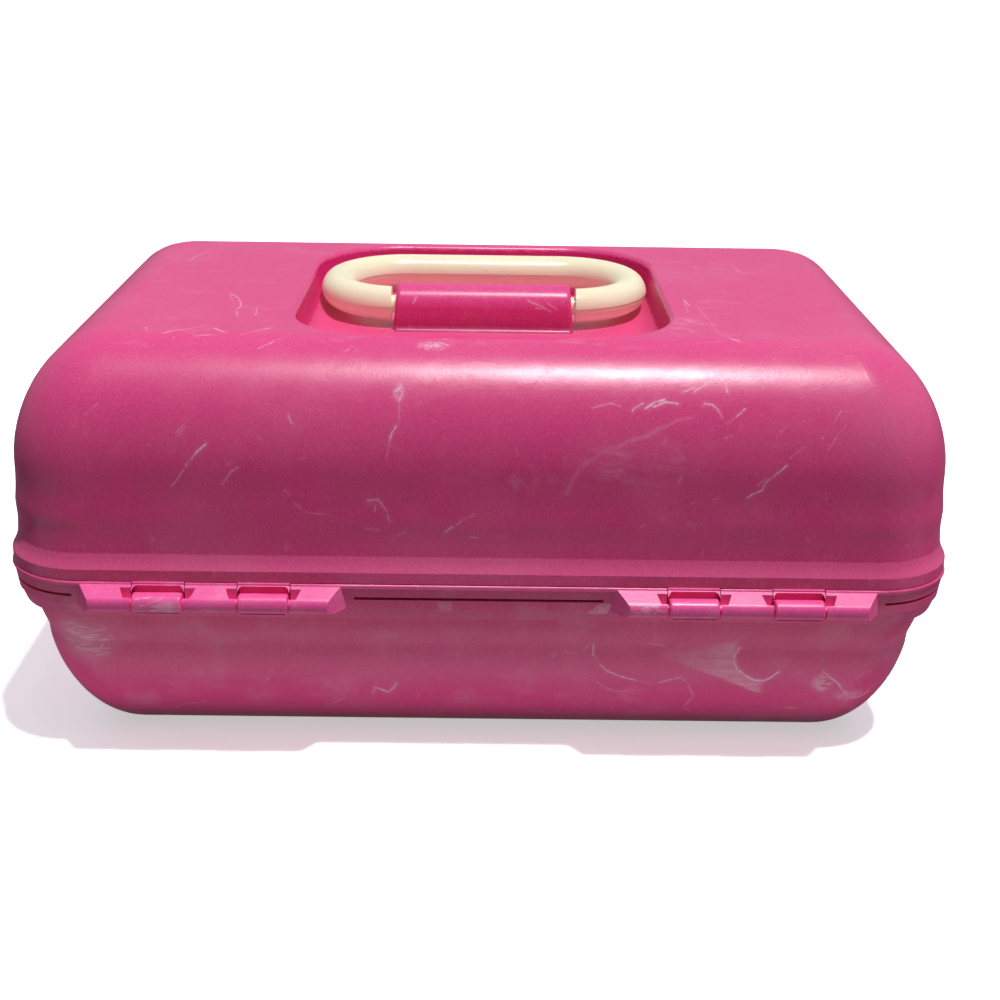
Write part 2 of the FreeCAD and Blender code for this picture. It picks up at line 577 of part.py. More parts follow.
# ---------------------------------------------------------------- mirror in the lid
fx, fy0, fy1 = 98.0, -58.0, 62.0
fc, fb = (fy0 + fy1) / 2, (fy1 - fy0) / 2
gx, gb = 82.0, fb - 5.0
frame = plate(fx, fb, 14.0, 57.1, frame_top_z, fc)
frame = frame.fuse(plate(gx + 3.0, gb + 3.0, 9.0, 53.7, 57.1, fc))
frame = frame.cut(plate(gx + 0.2, gb + 0.2, 6.2, 54.5, 57.1, fc))
frame = frame.cut(plate(gx - 1.6, gb - 1.6, 5.0, 53.0, 54.6, fc))
for x, y in screw_xy:
    frame = frame.cut(Part.makeCylinder(1.7, 6, V(x, y, 55)))
frame = frame.removeSplitter()
glass = plate(gx, gb, 6.0, 54.6, 56.4, fc)
pads = Part.makeCompound([box(sx_ * 44 - 20, sx_ * 44 + 20, fc - 34 * sy_ - 6, fc - 34 * sy_ + 6, 56.4, 57.1)
                          for sx_ in (1, -1) for sy_ in (1, -1)])
screws = []
for x, y in screw_xy:
    s = Part.makeCylinder(3.0, 1.6, V(x, y, 55.5)).fuse(Part.makeCylinder(1.3, 11.0, V(x, y, 57.1)))
    s = s.makeFillet(0.9, [ed for ed in s.Edges if abs(ed.BoundBox.ZMin - 55.5) < 1e-4 and ed.BoundBox.XLength > 5.5])
    for a in (0, 90):
        s = s.cut(box(x - 1.7, x + 1.7, y - 0.35, y + 0.35, 55.0, 56.3).rotated(V(x, y, 0), V(0, 0, 1), a))
    screws.append(s.removeSplitter())
mirror_screws = Part.makeCompound(screws)

# ---------------------------------------------------------------- write
nodes = {
    "base_shell": tub,
    "lid_shell": lid,
    "handle_sleeve": sleeve,
    "clasp_cheeks": clasp_cheeks,
    "handle_upper": upper,
    "handle_lower": lower,
    "latch": clasp,
    "latch_pin": latch_pin,
    "tray": tray,
    "link_left": link(1),
    "link_right": link(-1),
    "base_link_rivets": base_link_rivets,
    "tray_link_rivets": tray_link_rivets,
    "tray_lid_rivets": tray_lid_rivets,
    "mirror_frame": frame,
    "mirror_glass": glass,
    "mirror_pads": pads,
    "mirror_screws": mirror_screws,
}
up = V(0, 0, base_h)
for name, shape in nodes.items():
    s = shape.translated(up)
    bb = s.BoundBox
    print("%-18s ok=%s solids=%d faces=%d vol=%.0f  x %.2f..%.2f y %.2f..%.2f z %.2f..%.2f" % (
        name, s.isValid(), len(s.Solids), len(s.Faces), s.Volume, bb.XMin, bb.XMax, bb.YMin, bb.YMax, bb.ZMin, bb.ZMax))
    if len(s.Solids) == 1 and s.ShapeType != "Solid":
        s = s.Solids[0]
    s.exportStep("parts/" + name + ".step")
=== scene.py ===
import math
import bpy
import bmesh
import numpy as np
from mathutils import Vector, Matrix

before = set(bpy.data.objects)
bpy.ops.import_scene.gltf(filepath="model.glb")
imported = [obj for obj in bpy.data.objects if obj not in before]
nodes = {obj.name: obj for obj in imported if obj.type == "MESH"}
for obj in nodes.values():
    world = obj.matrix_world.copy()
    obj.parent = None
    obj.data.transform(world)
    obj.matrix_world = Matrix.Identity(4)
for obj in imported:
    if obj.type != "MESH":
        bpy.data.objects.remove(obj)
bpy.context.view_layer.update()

scene = bpy.context.scene

# ------------------------------------------------------------------ node-tree helper
class Tree:
    def __init__(self, name):
        self.mat = bpy.data.materials.new(name)
        self.mat.use_nodes = True
        self.t = self.mat.node_tree
        self.t.nodes.clear()
        self.out = self.t.nodes.new("ShaderNodeOutputMaterial")

    def n(self, kind, ins=None, **props):
        return add_node(self.t, kind, ins, **props)


def add_node(t, kind, ins=None, **props):
    node = t.nodes.new(kind)
    for k, v in props.items():
        setattr(node, k, v)
    for k, v in (ins or {}).items():
        s = node.inputs[k]
        if isinstance(v, bpy.types.NodeSocket):
            t.links.new(v, s)
        else:
            s.default_value = v
    return node


def math_(t, op, a, b=0.0, c=None, clamp=False):
    ins = {0: a, 1: b}
    if c is not None:
        ins[2] = c
    return add_node(t, "ShaderNodeMath", ins, operation=op, use_clamp=clamp).outputs[0]


def vmath(t, op, a, b=(0, 0, 0), scale=None):
    ins = {0: a, 1: b}
    if scale is not None:
        ins["Scale"] = scale
    nd = add_node(t, "ShaderNodeVectorMath", ins, operation=op)
    return nd.outputs["Value"] if op in ("DOT_PRODUCT", "LENGTH", "DISTANCE") else nd.outputs["Vector"]


def ramp(t, x, x0, x1, y0=0.0, y1=1.0, smooth=True):
    nd = add_node(t, "ShaderNodeMapRange", {"Value": x, "From Min": x0, "From Max": x1, "To Min": y0, "To Max": y1},
                  interpolation_type="SMOOTHSTEP" if smooth else "LINEAR", clamp=not smooth)
    return nd.outputs[0]


def mix(t, f, a, b):
    nd = add_node(t, "ShaderNodeMix", data_type="RGBA")
    for s, v in ((nd.inputs[0], f), (nd.inputs[6], a), (nd.inputs[7], b)):
        if isinstance(v, bpy.types.NodeSocket):
            t.links.new(v, s)
        else:
            s.default_value = v if not isinstance(v, tuple) or len(v) == 4 else (*v, 1.0)
    return nd.outputs[2]


def noise(t, vec, scale, detail=4.0, rough=0.55, dist=0.0):
    nd = add_node(t, "ShaderNodeTexNoise", {"Vector": vec, "Scale": scale, "Detail": detail, "Roughness": rough, "Distortion": dist})
    return nd.outputs["Fac"]


# ------------------------------------------------------------------ scuffs on the case
# (strength, half width, points) in millimetres on the case's surface
BASE_MARKS = (
    (1, 0.39, ((-91.7, 100, 42.7), (-90.5, 99.8, 40.2), (-90, 99.5, 37.3), (-91.8, 98.9, 33.8), (-95.3, 98.2, 30.6))),
    (1, 0.58, ((-95.3, 98.2, 30.6), (-98.8, 97.6, 28.8), (-102, 97.7, 28.8))),
    (1, 0.37, ((-102, 97.7, 28.8), (-104.7, 98.1, 30.3), (-106.9, 98.7, 32.7))),
    (0.8, 0.28, ((-40.5, 100.2, 45.2), (-40.3, 99.8, 40.4), (-41.5, 99.4, 37), (-44.2, 98.8, 33.5), (-47.5, 98.3, 31.3), (-52.3, 97.7, 29), (-56.7, 97.4, 28.1), (-60.3, 97, 26.7), (-63.9, 97, 26.8), (-67.7, 97.5, 28.3), (-71.9, 97.9, 29.8))),
    (0.45, 0.22, ((-71.9, 97.9, 29.8), (-74.2, 97.4, 27.9), (-76, 96.2, 24.5), (-77.9, 94.6, 20.3), (-76.1, 92.9, 16.9), (-75, 91.2, 13.9), (-77.7, 89.1, 10.7), (-82, 86.1, 6.9))),
    (0.4, 0.25, ((-42.4, 97.1, 27), (-45.8, 96, 24), (-50.3, 95.3, 22), (-53.9, 95.5, 22.6), (-55.8, 96.3, 24.7), (-58.2, 95.3, 22.2))),
    (0.6, 0.48, ((-122.5, 98.7, 32.9), (-125.4, 98, 30.2), (-128.6, 97.4, 27.8), (-131, 96.2, 24.4), (-134.3, 94.3, 20.5), (-137.6, 93.1, 19.9), (-141, 92.8, 22.2))),
    (0.35, 0.37, ((-132.8, 93.8, 19), (-137.1, 88.6, 12.8))),
    (0.8, 0.33, ((38, 94.2, 19.4), (37.1, 95.8, 23.2), (34.3, 95.1, 21.6), (32.5, 94.7, 20.6), (30.6, 95.6, 22.8), (29.1, 96.5, 25.3))),
    (0.4, 0.22, ((55.1, 90.7, 13.2), (52.1, 91.6, 14.6), (48.2, 93.2, 17.6))),
    (0.4, 0.23, ((115.2, 84.3, 5), (108.9, 89.7, 11.5), (99.3, 91.3, 14.2))),
    (0.35, 0.22, ((77.4, 96.4, 25), (75.1, 97.1, 27), (73.5, 97.7, 29))),
    (0.3, 0.22, ((82.3, 96.9, 26.5), (79.2, 97.6, 28.5))),
    (0.35, 0.21, ((-30.1, 99.8, 40.2), (-35.1, 99.7, 39.5), (-39.8, 100, 44))),
    (0.3, 0.21, ((-25.6, 99.4, 36.8), (-27.6, 99.8, 40.2))),
    (0.3, 0.22, ((22.2, 93.4, 18), (19.5, 96, 24))),
    (0.35, 0.22, ((-19.7, 89.2, 10.8), (-28.3, 87, 8), (-30.5, 91.8, 14.9))),
    (0.6, 0.26, ((-111.8, 91.6, 14.6), (-115.9, 91.3, 14.1))),
    (0.3, 0.22, ((-133.2, 97.5, 28.3), (-138, 98, 32.7))),
    (0.3, 0.18, ((-119.8, 99, 34.6), (-122.1, 99.7, 38.6))),
    (0.4, 0.28, ((-48.3, 101.3, 49.8), (-51.5, 101.2, 49.4))),
    (0.35, 0.25, ((-50.1, 100.9, 48.5), (-56.7, 100.1, 45), (-65.6, 100, 43.5))),
    (0.3, 0.25, ((-56.3, 101.4, 50.4), (-64, 101.4, 50.5))),
    (0.7, 0.33, ((138.6, 101, 50.7), (127.7, 101.5, 50.7))),
    (0.6, 0.44, ((142.6, 98.8, 47.6), (136, 100.3, 46.9), (130.7, 100.5, 47.1))),
    (0.7, 0.51, ((140, 99.1, 44.7), (134.2, 100, 44.5), (129.1, 100.3, 46.2))),
    (0.55, 0.44, ((138.1, 99.4, 42.1), (133.6, 99.9, 42.9), (130, 100.1, 44.2))),
    (0.5, 0.37, ((137.7, 99.2, 38.5), (134, 99.7, 39.6), (131.7, 99.9, 41.3))),
    (0.4, 0.29, ((141.8, 106.3, 57.5), (141, 100.8, 52.5))),
    (0.4, 0.26, ((145.8, 96.2, 43.2), (140.3, 98.7, 42.2), (137.1, 99.2, 37.7))),
    (0.35, 0.21, ((-2.5, 101.9, 53), (-7.4, 101.6, 51.4), (-12.2, 101.7, 51.9))),
    (0.35, 0.21, ((-11.9, 101.7, 51.9), (-13.7, 100.9, 48.4), (-15.8, 100.9, 48.4), (-16.8, 101.6, 51.1))),
)
BOSS_MARKS = (
    (1, 0.37, ((-51.1, 113.7, 65.5), (-60.5, 113.9, 65.3))),
    (0.7, 0.24, ((-56.1, 114.2, 65), (-53.2, 114.3, 61.6))),
    (0.8, 0.27, ((-56.5, 114.2, 65), (-56.7, 114, 61.1))),
    (0.7, 0.24, ((-57.1, 114.1, 65), (-59.9, 114.6, 62.7))),
    (0.6, 0.24, ((-57.8, 113.9, 65.3), (-62.9, 114.7, 63.5))),
    (0.6, 0.2, ((-54.4, 114.2, 65), (-50.8, 114.1, 63))),
    (0.6, 0.42, ((114.1, 115, 63.5), (107.4, 113.9, 65.7))),
    (0.6, 0.49, ((111, 114.6, 61.5), (104, 114.8, 64.3))),
    (0.6, 0.35, ((106, 114.3, 61), (101.3, 114.5, 65))),
    (0.5, 0.35, ((115.5, 114.2, 65.4), (110.9, 113.4, 66.2))),
)
REAR_MARKS = (
    (0.9, 0.4, ((90.9, 103.2, 117.8), (93.9, 104.1, 114.6))),
    (0.8, 0.3, ((93.9, 104.1, 114.6), (97.7, 104.8, 109.9))),
    (0.6, 0.2, ((97.7, 104.8, 109.9), (103, 105.3, 103.2))),
    (0.5, 0.2, ((100.8, 102.2, 121.2), (96.9, 100.7, 124.9))),
    (0.4, 0.24, ((100.1, 102.6, 120), (97.5, 101.4, 123.1))),
    (0.45, 0.34, ((85.6, 105.3, 104.2), (82.5, 105, 108.4), (80.4, 104.9, 109.8))),
    (0.3, 0.23, ((60.5, 104.3, 113.4), (58.5, 104.2, 114))),
    (0.55, 0.33, ((63.5, 99.7, 127.1), (62.5, 101, 124.1))),
    (0.35, 0.24, ((65.1, 105.3, 102.3), (63.5, 105.5, 100.3))),
    (0.55, 0.53, ((26.6, 96, 133.4), (27.2, 97.5, 131.1))),
    (0.3, 0.3, ((27.2, 97.5, 131.1), (27.1, 100, 126.3))),
    (0.9, 0.27, ((27.1, 100.5, 125.4), (29.1, 102, 121.7))),
    (0.9, 0.3, ((29.1, 102, 121.7), (30.3, 103.3, 117.6))),
    (0.5, 0.17, ((30.3, 103.3, 117.6), (31.3, 104.6, 111.4))),
    (0.45, 0.54, ((37.4, 105.5, 99.2), (34.1, 105.5, 99.2))),
    (0.4, 0.34, ((34.1, 105.5, 99.2), (32.1, 105.7, 96.5), (30.2, 106, 91.9))),
    (0.4, 0.3, ((34.8, 105.6, 98.2), (35.2, 105.8, 95.4))),
    (0.35, 0.27, ((38.9, 106.1, 89.3), (34.2, 106.2, 88.6))),
    (0.4, 0.27, ((29.6, 106.4, 84.4), (27.5, 106.3, 86.9), (24.8, 106.2, 88))),
    (0.35, 0.27, ((38.3, 106.5, 83.2), (31.9, 106.5, 82.2))),
    (0.5, 0.37, ((12.4, 106.4, 85.4), (11.7, 106.2, 88.2), (9.3, 106.1, 90))),
    (0.35, 0.27, ((8, 106, 91.1), (4.6, 105.9, 93.3), (2, 105.8, 94.7))),
    (0.35, 0.24, ((3.3, 106.3, 86.5), (0.6, 106.3, 86.2))),
    (0.4, 0.24, ((-6.2, 106.3, 86.3), (-8.9, 106.3, 86.7))),
    (0.4, 0.24, ((-10.3, 106.4, 84.6), (-13, 106.4, 85))),
    (0.35, 0.2, ((61.5, 105.6, 97.5), (58.3, 105.8, 94.7), (50.3, 105.9, 93.7))),
    (0.3, 0.17, ((131.2, 100.2, 126), (126.7, 98.5, 129.4))),
    (0.5, 0.2, ((110.4, 103.6, 116.7), (109.4, 103.4, 117.3))),
    (0.3, 0.17, ((73.7, 102.5, 120.3), (72.4, 102.9, 119))),
    (0.8, 0.4, ((-50.1, 98.4, 129.6), (-53.7, 97.3, 131.4))),
    (0.85, 0.53, ((-54.7, 98.1, 130), (-58, 96.9, 132), (-60.7, 96.5, 132.6))),
    (0.7, 0.43, ((-57.4, 97.8, 130.6), (-61.4, 96.9, 132.1), (-65.4, 97.2, 131.5))),
    (0.45, 0.27, ((-37.1, 98.1, 130.1), (-42.8, 97, 131.9), (-46.1, 97.7, 130.8))),
    (0.6, 0.4, ((-70.8, 94.8, 135), (-73.5, 93.4, 136.7), (-75.5, 92.4, 137.8))),
    (0.55, 0.34, ((-67.1, 94.8, 135), (-70.8, 93.9, 136.2))),
    (0.55, 0.41, ((-81.9, 92.4, 137.9), (-82.1, 94.5, 135.4))),
    (0.7, 0.4, ((-74, 97.2, 131.6), (-76.7, 97.1, 131.7), (-78.6, 98.2, 129.9))),
    (0.4, 0.34, ((-78, 97.8, 130.5), (-79.9, 99.5, 127.6))),
    (0.8, 0.27, ((-82.3, 100.1, 126.1), (-87.6, 97.9, 130.3))),
    (0.4, 0.2, ((-85.3, 101.1, 124), (-86.6, 100.3, 125.9))),
    (0.4, 0.23, ((-80.7, 102.2, 121.2), (-83.3, 101.8, 122.2))),
    (0.18, 0.9, ((-39.6, 103.8, 115.6), (-43.9, 103.3, 117.6), (-49.5, 102.6, 119.9), (-54.4, 102.1, 121.5), (-59.4, 101, 124.3))),
    (0.13, 1.1, ((-28.7, 105.4, 101.8), (-30.5, 105.1, 107.1), (-34.1, 104.6, 111.9), (-39.6, 103.8, 115.6))),
    (0.13, 0.8, ((-59.4, 101, 124.3), (-66, 99.8, 126.8), (-70.3, 99.4, 127.8))),
    (0.45, 0.3, ((-65.3, 105.2, 106.1), (-66.8, 105, 108.6))),
    (0.9, 0.27, ((-101.5, 104.3, 113.1), (-97.8, 104.9, 109.3), (-95.2, 105.1, 107.2), (-94.4, 105.2, 104.4), (-90.9, 105.4, 102.6), (-89.6, 105.4, 101.6))),
    (0.35, 0.27, ((-92.7, 105.2, 105.8), (-95.1, 105, 108.6))),
    (0.3, 0.2, ((-102.8, 103.9, 115.4), (-107, 103, 118.7))),
    (0.6, 0.2, ((-113.5, 101.9, 121.9), (-116.5, 100.1, 126.2), (-119.5, 98.1, 130.1))),
    (0.5, 0.2, ((-115.6, 103.1, 118.1), (-118.5, 101.4, 123.2), (-121.8, 99.9, 126.6))),
    (0.3, 0.17, ((-114.5, 100.9, 124.4), (-118.5, 100.9, 124.4))),
    (0.3, 0.17, ((-119.5, 98.1, 130.1), (-121.8, 98.4, 129.6))),
    (0.3, 0.2, ((-99.2, 101.2, 123.6), (-101.9, 100.5, 125.4))),
    (0.4, 0.2, ((-70.6, 105.5, 99.5), (-72.3, 105.5, 100.3))),
    (0.35, 0.2, ((-62.5, 105.8, 94.9), (-65.1, 105.7, 95.9))),
    (0.35, 0.2, ((-77.6, 105.5, 100.7), (-80.2, 105.4, 101.8))),
    (0.5, 0.24, ((-89.6, 106.3, 86.3), (-94, 106.3, 86.4))),
    (0.4, 0.21, ((-113.1, 106.4, 84.5), (-115, 106.3, 85.9))),
    (0.3, 0.17, ((-11.4, 103.1, 118.1), (-12.4, 104, 114.9))),
    (0.35, 0.2, ((1.2, 106.4, 84.1), (-1.5, 106.5, 83.4))),
    (0.3, 0.2, ((-53.9, 106.1, 90.5), (-57.2, 106, 92))),
    (0.45, 0.28, ((108.3, 106.7, 80.2), (105.8, 106.6, 82))),
)
TOP_MARKS = (
    (0.7, 0.35, ((109.1, 75.6, 147.6), (102.2, 70.8, 147.8), (95.8, 66.5, 147.8))),
    (0.5, 0.28, ((97.9, 77.6, 147.2), (91.9, 76.7, 147.4), (87.4, 74.9, 147.7))),
    (0.6, 0.53, ((92.5, 69, 147.8), (88.3, 73.9, 147.8))),
    (0.5, 0.28, ((81.9, 75.6, 147.6), (77.6, 72.2, 147.8), (75.3, 69.4, 147.8))),
    (0.6, 0.49, ((75.3, 69.4, 147.8), (73.1, 68, 147.8))),
    (0.6, 0.31, ((94.4, 20, 147.8), (91.1, 26, 147.8), (88.1, 37.9, 147.8))),
    (0.6, 0.34, ((88.1, 37.9, 147.8), (88.8, 45.3, 147.8), (86.7, 53.7, 147.8))),
    (0.3, 0.23, ((96, 16.9, 147.8), (91.2, 35.1, 147.8))),
    (0.5, 0.26, ((82, 37.6, 147.8), (80.8, 50.6, 147.8))),
    (0.5, 0.21, ((78.5, 85.5, 143.8), (71.6, 81.1, 146.1), (64.7, 74, 147.8))),
    (0.5, 0.32, ((116, 68.8, 147.8), (114, 74.8, 147.7))),
    (0.35, 0.34, ((121.8, -33.1, 147.8), (118.6, -46.6, 147.8), (116.2, -56.6, 147.8))),
    (0.3, 0.33, ((123.2, -23.8, 147.8), (117.1, -29.7, 147.8))),
    (0.3, 0.39, ((81.4, -58.8, 147.8), (78.1, -63.1, 147.8))),
    (0.3, 0.25, ((108.7, 72.4, 147.8), (104.7, 66.9, 147.8))),
    (0.6, 0.31, ((-75.4, 19.9, 147.8), (-76.6, 29, 147.8), (-79.9, 31.8, 147.8), (-85.9, 31.5, 147.8))),
    (0.4, 0.31, ((-75.4, 19.9, 147.8), (-74.8, 38, 147.8))),
    (0.6, 0.32, ((-66.4, 60.9, 147.8), (-70.7, 60.7, 147.8), (-73.5, 65.9, 147.8))),
    (0.45, 0.28, ((-65.8, 66.2, 147.8), (-69.4, 71.3, 147.8))),
    (0.7, 0.35, ((-85, 73.1, 147.8), (-87.9, 76.7, 147.4))),
    (0.5, 0.25, ((-101.7, -41.3, 147.8), (-103.9, -28.5, 147.8), (-110.4, -23.6, 147.8))),
    (0.3, 0.25, ((-112.7, -32.7, 147.8), (-123, -44.5, 147.8))),
    (0.35, 0.23, ((-102.7, 16.9, 147.8), (-109.2, 11.8, 147.8))),
    (0.4, 0.25, ((-86.1, -36.6, 147.8), (-87.3, -33, 147.8))),
    (0.3, 0.23, ((-131.1, 34.6, 147.7), (-135.2, 32.9, 147))),
    (0.5, 0.61, ((18.3, 79.9, 146.5), (14.3, 79.3, 146.7), (11.5, 80.9, 146.2))),
    (0.3, 0.4, ((-26.2, 88.5, 141.6), (-30.9, 87.1, 142.6))),
    (0.25, 0.3, ((-79.7, 33.3, 147.8), (-82.3, 68.1, 147.8))),
)
SLEEVE_MARKS = (
    (0.5, 0.38, ((25.7, 12.2, 145.7), (27.2, 13.2, 143.6))),
    (0.6, 0.38, ((-17.3, 12.7, 144.8), (-21.5, 13.3, 143.1), (-25.4, 13.5, 140.8))),
    (0.6, 0.35, ((-20, 13.4, 142.3), (-23.8, 13.5, 142))),
    (0.5, 0.31, ((-24.6, 13.1, 143.9), (-27.7, 13.5, 141.7))),
    (0.4, 0.31, ((-16.9, 12.5, 145.2), (-19.2, 13.1, 143.8))),
)


def seg_distance(t, p, a, b):
    """Distance from p to the segment a-b."""
    a, b = Vector(a), Vector(b)
    ab = b - a
    pa = vmath(t, "SUBTRACT", p, tuple(a))
    q = add_node(t, "ShaderNodeClamp", {0: vmath(t, "DOT_PRODUCT", pa, tuple(ab / max(ab.length_squared, 1e-6)))}).outputs[0]
    return vmath(t, "LENGTH", vmath(t, "ADD", vmath(t, "SCALE", tuple(-ab), scale=q), pa))


def marks_mask(t, p, marks):
    """Brightness of a set of marks: each a chain of segments with a soft, tapering edge."""
    by = {}
    for strength, width, pts in marks:
        d = None
        for a, b in zip(pts, pts[1:]):
            e = seg_distance(t, p, a, b)
            d = e if d is None else math_(t, "MINIMUM", d, e)
        d = math_(t, "MULTIPLY", d, 1.0 / width)
        by[strength] = math_(t, "MINIMUM", by[strength], d) if strength in by else d
    total = None
    for strength, d in by.items():
        m = math_(t, "ADD", ramp(t, d, 0.15, 1.25, strength * 0.88, 0.0), ramp(t, d, 0.0, 5.0, strength * 0.12, 0.0))
        total = m if total is None else math_(t, "MAXIMUM", total, m)
    return total


def edge(t, p, a, b, soft):
    """0 to 1 across the line a-b seen along Y, 1 on its left from a to b."""
    dx, dz = b[0] - a[0], b[1] - a[1]
    ln = math.hypot(dx, dz)
    n = (-dz / ln, 0.0, dx / ln)
    d = vmath(t, "DOT_PRODUCT", vmath(t, "SUBTRACT", p, (a[0], 0.0, a[1])), n)
    return ramp(t, d, -soft, soft)


def times(t, *xs):
    out = xs[0]
    for x in xs[1:]:
        out = math_(t, "MULTIPLY", out, x)
    return out


def blob(t, p, centre, radii, soft=1.0):
    """Soft ellipsoid, 1 inside."""
    q = vmath(t, "MULTIPLY", vmath(t, "SUBTRACT", p, centre), tuple(1.0 / r for r in radii))
    return ramp(t, vmath(t, "LENGTH", q), 1.0, 1.0 - soft)


def most(t, *xs):
    out = xs[0]
    for x in xs[1:]:
        out = math_(t, "MAXIMUM", out, x)
    return out


# ------------------------------------------------------------------ plastics
PINK = (0.82, 0.060, 0.245)
# painted light: a lighter pink for the hinge blocks and hooks, standing in for the stronger light on their sloping
# faces
PAINTED_LIT_PINK = (1.0, 0.088, 0.36)
RUBBED = (0.93, 0.70, 0.82)


def streaks(t, p, turn, stretch, scale, lo, hi):
    """Brushed streaks: noise drawn out along one direction."""
    m = add_node(t, "ShaderNodeMapping", {"Vector": p, "Rotation": turn, "Scale": stretch}).outputs[0]
    return ramp(t, noise(t, m, scale, 4.0, 0.62, 0.4), lo, hi)


def pink_material(name, marks=(), patches=None, dust_and_sheen=0.018, hair=1.0, base=PINK, haze_top=0.05, spec=0.5, foot_painted_shade=None):
    """Moulded pink plastic: fine grain, rubbed haze, hair scratches and the given marks; upward faces also whiten,
    partly dirt and partly painted sheen, and an optional painted shade darkens the colour towards the bottom.
    """
    T = Tree(name)
    t = T.t
    co = T.n("ShaderNodeTexCoord").outputs["Object"]
    mm = vmath(t, "SCALE", co, scale=1000.0)
    up = T.n("ShaderNodeSeparateXYZ", {0: T.n("ShaderNodeTexCoord").outputs["Normal"]}).outputs[2]
    grain = noise(t, mm, 1.35, 2.0, 0.65)
    cloud = noise(t, mm, 0.022, 4.0, 0.6)
    speck = noise(t, mm, 0.55, 3.0, 0.7)
    wob = add_node(t, "ShaderNodeTexNoise", {"Vector": mm, "Scale": 0.13, "Detail": 4.0, "Roughness": 0.7}).outputs["Color"]
    pw = add_node(t, "ShaderNodeVectorMath", {0: wob, 1: (2.2, 2.2, 2.2), 2: mm}, operation="MULTIPLY_ADD").outputs["Vector"]
    pw = vmath(t, "SUBTRACT", pw, (1.1, 1.1, 1.1))

    # hair scratches: cell edges, broken up so that only short runs show
    hs = add_node(t, "ShaderNodeTexVoronoi", {"Vector": pw, "Scale": 0.034, "Randomness": 1.0}, feature="DISTANCE_TO_EDGE").outputs[0]
    runs = ramp(t, noise(t, mm, 0.045, 2.0, 0.5), 0.60, 0.70)
    hairs = times(t, ramp(t, hs, 0.009, 0.001), runs, 0.06 * hair)
    # small nicks, sparse and short
    nv = T.n("ShaderNodeMapping", {"Vector": pw, "Rotation": (0.5, 0.9, 0.4), "Scale": (1.0, 1.0, 0.22)}).outputs[0]
    nk = add_node(t, "ShaderNodeTexVoronoi", {"Vector": nv, "Scale": 0.085, "Randomness": 1.0}).outputs["Distance"]
    nicks = times(t, ramp(t, nk, 0.06, 0.015), ramp(t, speck, 0.45, 0.6), 0.36 * hair)

    rub = most(t, hairs, nicks)
    if marks:
        m = marks_mask(t, pw, marks)
        rub = most(t, rub, times(t, m, ramp(t, speck, 0.28, 0.60, 0.42, 1.0)))
    if patches:
        rub = most(t, rub, patches(t, mm, pw, speck))
    haze = ramp(t, cloud, 0.42, 0.75, 0.0, haze_top)
    # whitening on upward faces: partly settled dirt, partly painted sheen standing in for the sky's reflection on the
    # tops
    haze = math_(t, "ADD", haze, ramp(t, up, 0.1, 1.0, 0.0, dust_and_sheen))
    haze = math_(t, "ADD", haze, ramp(t, grain, 0.62, 0.80, 0.0, 0.12))
    haze = math_(t, "ADD", haze, math_(t, "MULTIPLY", rub, 0.86))

    tint = mix(t, ramp(t, grain, 0.25, 0.75), tuple(c * k for c, k in zip(base, (0.91, 0.84, 0.88))),
               tuple(min(1.0, c * k) for c, k in zip(base, (1.08, 1.20, 1.12))))
    # painted shade: the colour darkens towards the bottom, below the given heights, where the sleeve meets the well
    # floor
    if foot_painted_shade:
        z = vmath(t, "DOT_PRODUCT", mm, (0.0, 0.0, 1.0))
        tint = mix(t, ramp(t, z, foot_painted_shade[0], foot_painted_shade[1]), tuple(c * k for c, k in zip(base, (0.60, 0.42, 0.50))), tint)
    col = mix(t, haze, tint, RUBBED)
    rough = math_(t, "ADD", 0.25, math_(t, "MULTIPLY", noise(t, mm, 0.09, 4.0), 0.12))
    rough = math_(t, "ADD", rough, math_(t, "MULTIPLY", rub, 0.30))
    h = math_(t, "ADD", math_(t, "MULTIPLY", grain, 0.6), math_(t, "MULTIPLY", speck, 0.5))
    bump = T.n("ShaderNodeBump", {"Strength": 0.5, "Distance": 0.00008, "Height": h}).outputs[0]
    b = T.n("ShaderNodeBsdfPrincipled", {"Base Color": col, "Roughness": rough, "IOR": 1.49, "Normal": bump, "Specular IOR Level": spec})
    t.links.new(b.outputs[0], T.out.inputs[0])
    return T.mat


